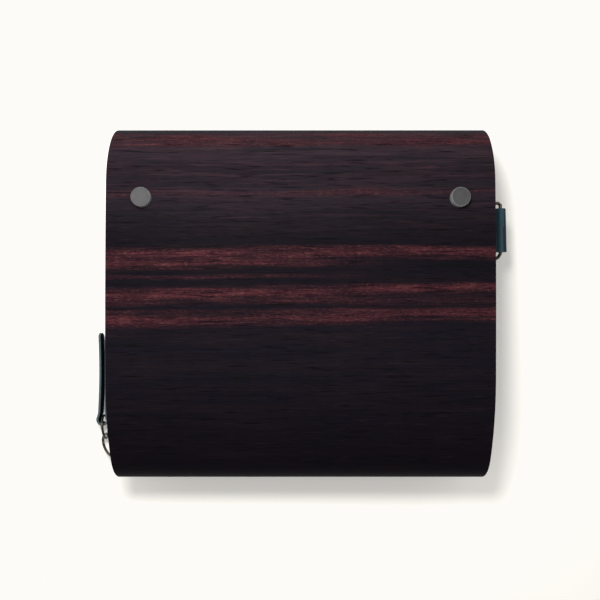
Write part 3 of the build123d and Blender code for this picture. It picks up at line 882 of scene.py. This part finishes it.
def tape_part(sign):
    """(verts, faces) of one rippled tape; sign is 1 for the front one, -1 for the back one."""
    outer = zip_path(0.02, 2.0)
    inner = zip_path(0.58, 2.0)
    verts = []
    faces = []
    heights = [1.6 + 9.4 * k / 6 for k in range(7)]
    for (x, y, nx, ny), (x2, y2, _, _) in zip(outer, inner):
        for h in heights:
            ripple = 0.04 * math.sin(0.55 * (x + y) + h)
            verts.append(Vector((x + nx * ripple, y + ny * ripple, MID + sign * h)) * MM)
        for h in heights:
            verts.append(Vector((x2, y2, MID + sign * h)) * MM)
    row = 14
    for i in range(len(outer) - 1):
        p = i * row
        q = p + row
        for k in range(6):
            a = (p + k, p + k + 1, q + k + 1, q + k)
            b = (p + 7 + k, q + 7 + k, q + 8 + k, p + 8 + k)
            faces.append(a if sign > 0 else a[::-1])
            faces.append(b if sign > 0 else b[::-1])
        c = (p, q, q + 7, p + 7)
        d = (p + 6, p + 13, q + 13, q + 6)
        faces.append(c if sign > 0 else c[::-1])
        faces.append(d if sign > 0 else d[::-1])
    end = (len(outer) - 1) * row
    for k in range(6):
        a = (k, 7 + k, 8 + k, k + 1)
        b = (end + k, end + k + 1, end + 8 + k, end + 7 + k)
        faces.append(a if sign > 0 else a[::-1])
        faces.append(b if sign > 0 else b[::-1])
    return verts, faces


def tooth(x, y, nx, ny, sign):
    """One zip element: a waisted block clamped over the tape's edge, with a rounded nose."""
    n = Vector((nx, ny, 0.0))
    t = Vector((-ny, nx, 0.0))
    z = Vector((0.0, 0.0, float(sign)))
    centre = Vector((x, y, MID))
    outline = [(-0.62, 3.0), (-0.62, 1.55), (-0.34, 1.2), (-0.5, 0.8), (-0.3, 0.48)]
    outline += [(-a, b) for a, b in outline[::-1]]
    verts = []
    for h in (-1.15, -0.95, 0.95, 1.15):
        squeeze = 0.86 if abs(h) > 1.0 else 1.0
        for a, b in outline:
            verts.append((centre + t * a * squeeze + z * b + n * h) * MM)
    k = len(outline)
    faces = []
    for layer in range(3):
        for i in range(k):
            j = (i + 1) % k
            a = (layer * k + i, layer * k + j, (layer + 1) * k + j, (layer + 1) * k + i)
            faces.append(a if sign < 0 else a[::-1])
    lo = tuple(range(k))
    hi = tuple(3 * k + i for i in range(k))
    faces.append(lo[::-1] if sign < 0 else lo)
    faces.append(hi if sign < 0 else hi[::-1])
    return verts, faces


TOOTH_PITCH = 1.9
for sign, word in ((1, "front"), (-1, "back")):
    tape = join(f"tape_{word}", [tape_part(sign)], TAPE)
    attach(tape, "base")
    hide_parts(f"zip_tape_{word}")
    path = zip_path(0.3, 0.1)
    gone = 0.0
    due = 1.0 + (0.0 if sign > 0 else TOOTH_PITCH / 2)
    blocks = []
    for a, b in zip(path, path[1:]):
        gone += math.hypot(b[0] - a[0], b[1] - a[1])
        if gone >= due:
            blocks.append(tooth(*b, sign))
            due += TOOTH_PITCH
    row = join(f"teeth_{word}", blocks[:-1], ZIP_METAL, smooth=30.0)
    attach(row, "base")
    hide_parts(f"zip_teeth_{word}")

# small metal parts whose CAD shape is kept
for name, mat in (
    ("zip_stops", ZIP_METAL),
    ("slider_body", DARK_GUN),
    ("slider_bail", DARK_GUN),
    ("slider_tab", DARK_GUN),
    ("tab_rivets", GUN),
    ("snap_sockets", GUN),
    ("snap_posts", GUN),
):
    node = nodes[name]
    node.data.materials.clear()
    node.data.materials.append(mat)
    node.data.shade_smooth()
    node.data.set_sharp_from_angle(angle=math.radians(32))
for name in ("zip_stops", "slider_body", "slider_tab", "tab_rivets"):
    bevel(nodes[name], 0.12)

# --------------------------------------------------------------- loose links
RING_HALF_W = 6.3
RING_WIRE = 0.8
LINK_HALF_L = 7.1
LINK_HALF_H = 5.9
LINK_WIRE = 0.75
far = Vector((-124.9, -86.0, 5.2))
near = Vector((-109.5, -88.7, 24.6))
ring_u = (near - far).normalized()
down = Vector((0.0, -1.0, 0.0))
ring_v = (down - ring_u * down.dot(ring_u)).normalized()
ring_c = (far + near) / 2
half_l = (near - far).length / 2
turns = [2 * math.pi * i / 120 for i in range(120)]
loop_pts = [ring_c + ring_u * half_l * math.cos(a) + ring_v * RING_HALF_W * math.sin(a) for a in turns]
pull_ring = join("pull_ring_wire", [tube(loop_pts, RING_WIRE, True, 18)], DARK_GUN)
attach(pull_ring, "pull_ring")
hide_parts("pull_ring")

yaw = math.radians(6.6)
link_dir = Vector((-math.sin(yaw), math.cos(yaw), 0.0))
link_c = Vector((-122.9, -77.6, 6.75))
loop_pts = []
for a in turns:
    loop_pts.append(link_c + link_dir * LINK_HALF_L * math.cos(a) + Vector((0, 0, LINK_HALF_H * math.sin(a))))
link = join("link_ring_wire", [tube(loop_pts, LINK_WIRE, True, 18)], DARK_GUN)
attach(link, "link_ring")
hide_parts("link_ring")

# -------------------------------------------------------------- leather pull
# the strip stands on edge: where its eye is, the eye's and the throat's radius, half the legs' distance
PULL_X = -123.7
PULL_Y = -76.0
EYE = 3.2
THROAT = 14.0
LEG = 2.0
TILT = math.radians(1.7)
neck = EYE + math.sqrt((EYE + THROAT) ** 2 - (LEG + THROAT) ** 2)
turn = math.atan2(neck - EYE, LEG + THROAT)
TIP = 57.2
BEND = 0.45
BOW = 0.5


def pull_centre():
    """Middle line of the folded strip, from one tip round the eye to the other."""
    pts = []
    for i in range(40):
        y = TIP + (neck - TIP) * i / 40
        t = (y - neck) / (TIP - neck)
        pts.append((PULL_X - LEG - BEND * t**2 + BOW * math.sin(math.pi * t), y))
    for i in range(12):
        a = -turn * i / 12
        pts.append((PULL_X - LEG - THROAT + THROAT * math.cos(a), neck + THROAT * math.sin(a)))
    for i in range(48):
        a = math.pi - turn + (math.pi + 2 * turn) * i / 48
        pts.append((PULL_X + EYE * math.cos(a), EYE + EYE * math.sin(a)))
    for i in range(13):
        a = math.pi + turn - turn * i / 12
        pts.append((PULL_X + LEG + THROAT + THROAT * math.cos(a), neck + THROAT * math.sin(a)))
    for i in range(1, 41):
        y = neck + (TIP - 0.8 - neck) * i / 40
        t = (y - neck) / (TIP - neck)
        pts.append((PULL_X + LEG - BEND * t**2, y))
    return pts


def strap(path, thick, width, base_z, round_end, low_tilt):
    """Flat strip on edge: (verts, faces, 0 grain side, 1 cut edge or 2 flesh side for each face)."""
    n = len(path)
    dist = [0.0]
    for a, b in zip(path, path[1:]):
        dist.append(dist[-1] + math.hypot(b[0] - a[0], b[1] - a[1]))
    total = dist[-1]
    ring = []
    r = 0.42
    half_t = thick / 2
    for sx, sz, a0 in ((1, 1, 0), (-1, 1, 90), (-1, -1, 180), (1, -1, 270)):
        for i in range(4):
            a = math.radians(a0 + 90 * i / 3)
            ring.append((sx * (half_t - r) + r * math.cos(a), sz, r * math.sin(a)))
    verts = []
    for i, (x, y) in enumerate(path):
        x0, y0 = path[max(i - 1, 0)]
        x1, y1 = path[min(i + 1, n - 1)]
        d = Vector((x1 - x0, y1 - y0)).normalized()
        normal = Vector((d.y, -d.x))
        end = min(dist[i], total - dist[i])
        half_w = width / 2
        if end < round_end:
            half_w -= round_end - math.sqrt(max(round_end**2 - (round_end - end) ** 2, 0.0))
        for off, sz, rz in ring:
            h = width / 2 + sz * (half_w - r) + rz
            px = x + normal.x * off
            py = y + normal.y * off
            z = base_z + h * math.cos(low_tilt) - py * math.sin(low_tilt)
            verts.append(Vector((px, PULL_Y + py * math.cos(low_tilt) + h * math.sin(low_tilt), z)) * MM)
    k = len(ring)
    faces = []
    kinds = []
    for i in range(n - 1):
        for j in range(k):
            a = i * k + j
            b = i * k + (j + 1) % k
            faces.append((a, a + k, b + k, b))
            if ring[j][1] == ring[(j + 1) % k][1]:
                kinds.append(1)
            else:
                kinds.append(0 if ring[j][0] > 0 else 2)
    faces.append(tuple(range(k)))
    faces.append(tuple((n - 1) * k + j for j in range(k - 1, -1, -1)))
    kinds += [1, 1]
    return verts, faces, kinds


verts, faces, kinds = strap(
    pull_centre(), thick=1.38, width=7.96, base_z=2.52, round_end=2.6, low_tilt=TILT
)
pull = make("pull_strap", verts, faces, LEATHER, EDGE, FLESH_SHADE, smooth=50.0)
for poly, kind in zip(pull.data.polygons, kinds):
    poly.material_index = kind
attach(pull, "leather_pull")
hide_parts("leather_pull")

# ------------------------------------------------------- strap ring and tab
# the ring's bar, the middle and half width of the tab, the fold's outer radius and the leather's thickness
BAR_X = 117.2
BAR_Z = 33.0
TAB_Y = 42.9
TAB_HALF = 12.7
R_OUT = 3.28
THICK = 1.46


def tab_side(offset):
    """Half path of one face of the fold, from the wall foot to the fold's crown."""
    foot = 9.0
    root = 94.1
    flat = 1.65 - offset
    pts = [(root + offset, foot), (root + offset, foot - 3), (root + offset, 4.5)]
    bend = 1.4 + offset
    for i in range(6):
        a = math.radians(180 + 90 * i / 5)
        centre = (root + 1.5 + 1.4, flat + bend)
        pts.append((centre[0] + bend * math.cos(a), centre[1] + bend * math.sin(a)))
    pts.append((106.5, flat))
    pts.append((110.5, flat))
    for i in range(0, 9):
        t = i / 8
        ease = t * t * (3 - 2 * t)
        pts.append((113.0 + (BAR_X - 113.0) * t, flat + (R_OUT - offset - flat) * ease))
    for i in range(1, 9):
        a = math.radians(90 - 90 * i / 8)
        pts.append((BAR_X + (R_OUT - offset) * math.cos(a), (R_OUT - offset) * math.sin(a)))
    return pts


upper = tab_side(0.0)
under = tab_side(THICK)
outer_line = [(x, BAR_Z + z) for x, z in upper] + [(x, BAR_Z - z) for x, z in upper[-2::-1]]
inner_line = [(x, BAR_Z + z) for x, z in under] + [(x, BAR_Z - z) for x, z in under[-2::-1]]
ys = [TAB_Y - TAB_HALF + 2 * TAB_HALF * i / 16 for i in range(17)]
verts = []
for y in ys:
    lean = -0.028 * (y - TAB_Y)
    for x, z in outer_line:
        out = max(0.0, (x - 110.0) / 10.0)
        sag = 0.12 * math.sin((y - TAB_Y) * 0.21) * out
        verts.append(Vector((x + lean * out, y, z + sag)) * MM)
    for x, z in inner_line:
        out = max(0.0, (x - 110.0) / 10.0)
        verts.append(Vector((x + lean * out, y, z)) * MM)
n = len(outer_line)
faces = []
row = 2 * n
for i in range(len(ys) - 1):
    p = i * row
    q = p + row
    for k in range(n - 1):
        faces.append((p + k, p + k + 1, q + k + 1, q + k))
        faces.append((p + n + k, q + n + k, q + n + k + 1, p + n + k + 1))
    faces.append((p, q, q + n, p + n))
    faces.append((p + n - 1, p + 2 * n - 1, q + 2 * n - 1, q + n - 1))
last = (len(ys) - 1) * row
cut_from = len(faces)
for k in range(n - 1):
    faces.append((k, n + k, n + k + 1, k + 1))
    faces.append((last + k, last + k + 1, last + n + k + 1, last + n + k))
# cut edges at both ends, and painted shade where the fold turns away: a darker copy of the leather
FOLD_FROM = 118.1 * MM
tab = make("tab_fold", verts, faces, LEATHER, EDGE, FOLD_SHADE)
for i, poly in enumerate(tab.data.polygons):
    if i >= cut_from:
        poly.material_index = 1
    elif poly.center.x > FOLD_FROM:
        poly.material_index = 2
bevel(tab, 0.3)
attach(tab, "base")
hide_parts("ring_tab")

for s in (-1, 1):
    z = BAR_Z + s * 1.72
    threads.extend(seam((107.0, TAB_Y - 11.0, z), (107.0, TAB_Y + 11.0, z), (0, 0, s), 2.9))
    z = BAR_Z + s * 6.8
    threads.extend(seam((95.62, TAB_Y - 11.0, z), (95.62, TAB_Y + 11.0, z), (1, 0, 0), 2.9))

# the ring's arc radius, how far it lies off the tab's middle, and how far its centre is below the bar
D_R = 16.5
SLIP = 0.55
DROP = 8.2
half_chord = math.sqrt(D_R**2 - DROP**2)
past = math.atan2(DROP, half_chord)
d_pts = []
for i in range(81):
    a = math.pi - past + (math.pi + 2 * past) * i / 80
    y = TAB_Y + SLIP + D_R * math.cos(a)
    z = BAR_Z - DROP + D_R * math.sin(a)
    d_pts.append((BAR_X, y, z))
for i in range(1, 24):
    d_pts.append((BAR_X, TAB_Y + SLIP + half_chord - 2 * half_chord * i / 24, BAR_Z))
ring = join("strap_ring_wire", [tube(d_pts, 1.0, True, 18)], DARK_GUN)
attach(ring, "d_ring")
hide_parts("d_ring")

# --------------------------------------------------------------- snap studs
STUD_X = 85.3
STUD_Y = 57.0
tilt = math.asin((STUD_Y - CROWN_Y) / CROWN_R)
axis = (0.0, math.sin(tilt), math.cos(tilt))
heads = []
washers = []
for side in (-1, 1):
    seat = (side * STUD_X, STUD_Y, CROWN[0][1] + CROWN_R * math.cos(tilt))
    # profiles as (radius, height over the wood): shank, neck, bevelled head; then the washer
    cap = [(0, -2.05), (1.55, -2.05), (1.6, 1.1), (4.9, 1.12), (5.0, 1.2), (5.0, 1.92)]
    cap += [(5.12, 2.02), (5.2, 2.16), (5.2, 3.85), (5.17, 3.97), (4.72, 4.50), (4.58, 4.57)]
    cap += [(4.40, 4.56), (2.0, 4.55), (0, 4.55)]
    heads.append(lathe(cap, seat, axis))
    foot = [(1.65, 0.08), (4.95, 0.08), (5.07, 0.18), (5.1, 0.4), (5.1, 0.78), (5.02, 0.94), (4.85, 1.04)]
    foot += [(1.65, 1.04), (1.65, 0.08)]
    washers.append(lathe(foot, seat, axis))
studs = join("stud_heads", heads, GUN, GUN_SIDE_LIT, smooth=25.0)
crown = Vector(axis)
SIDE_LIMIT = 0.88
# faces that turn sideways take the lighter copy: painted light on the studs' side walls
for poly in studs.data.polygons:
    if abs(poly.normal.dot(crown)) < SIDE_LIMIT:
        poly.material_index = 1
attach(studs, "flap")
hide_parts("stud_caps")
rings = join("stud_feet", washers, GUN_SIDE_LIT, smooth=25.0)
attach(rings, "flap")
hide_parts("stud_washers")

sewn = join("stitching", threads, THREAD, smooth=80.0)
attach(sewn, "base")

# ------------------------------------------------------------ camera and room
floor = make(
    "table_top",
    [(-3, -3, 0), (3, -3, 0), (3, 3, 0), (-3, 3, 0)],
    [(0, 1, 2, 3)],
    TABLE,
)


def lamp(name, place, power, size, colour):
    """Round soft lamp that shines straight down from `place`, in metres."""
    data = bpy.data.lights.new(name, "AREA")
    data.shape = "DISK"
    data.size = size
    data.energy = power
    data.color = colour
    ob = bpy.data.objects.new(name, data)
    ob.location = place
    ob.visible_camera = False
    bpy.context.scene.collection.objects.link(ob)


EYE_HEIGHT = 0.394
lamp("key", (-0.056, 0.122, EYE_HEIGHT), power=1.5, size=0.09, colour=(1.0, 0.99, 0.975))
world = bpy.data.worlds.new("studio")
world.use_nodes = True
world.node_tree.nodes["Background"].inputs[0].default_value = (1.0, 0.99, 0.99, 1.0)
world.node_tree.nodes["Background"].inputs[1].default_value = 0.78
bpy.context.scene.world = world
view = bpy.context.scene.view_settings
view.view_transform = "Standard"
# clipped white shows as the cream white of a warm studio background
view.use_curve_mapping = True
curves = view.curve_mapping
curves.extend = "HORIZONTAL"
for channel, white in ((0, 0.982), (1, 0.965), (2, 0.930)):
    curves.curves[channel].points[1].location = (white, white)
curves.update()

cam_data = bpy.data.cameras.new("camera")
cam_data.lens = 36.9
cam_data.sensor_width = 36.0
cam_data.clip_start = 0.01
camera = bpy.data.objects.new("camera", cam_data)
bpy.context.scene.collection.objects.link(camera)
camera.location = (-0.00035, 0.0021, EYE_HEIGHT)
camera.rotation_euler = (0.0, 0.0, 0.0)
bpy.context.scene.camera = camera
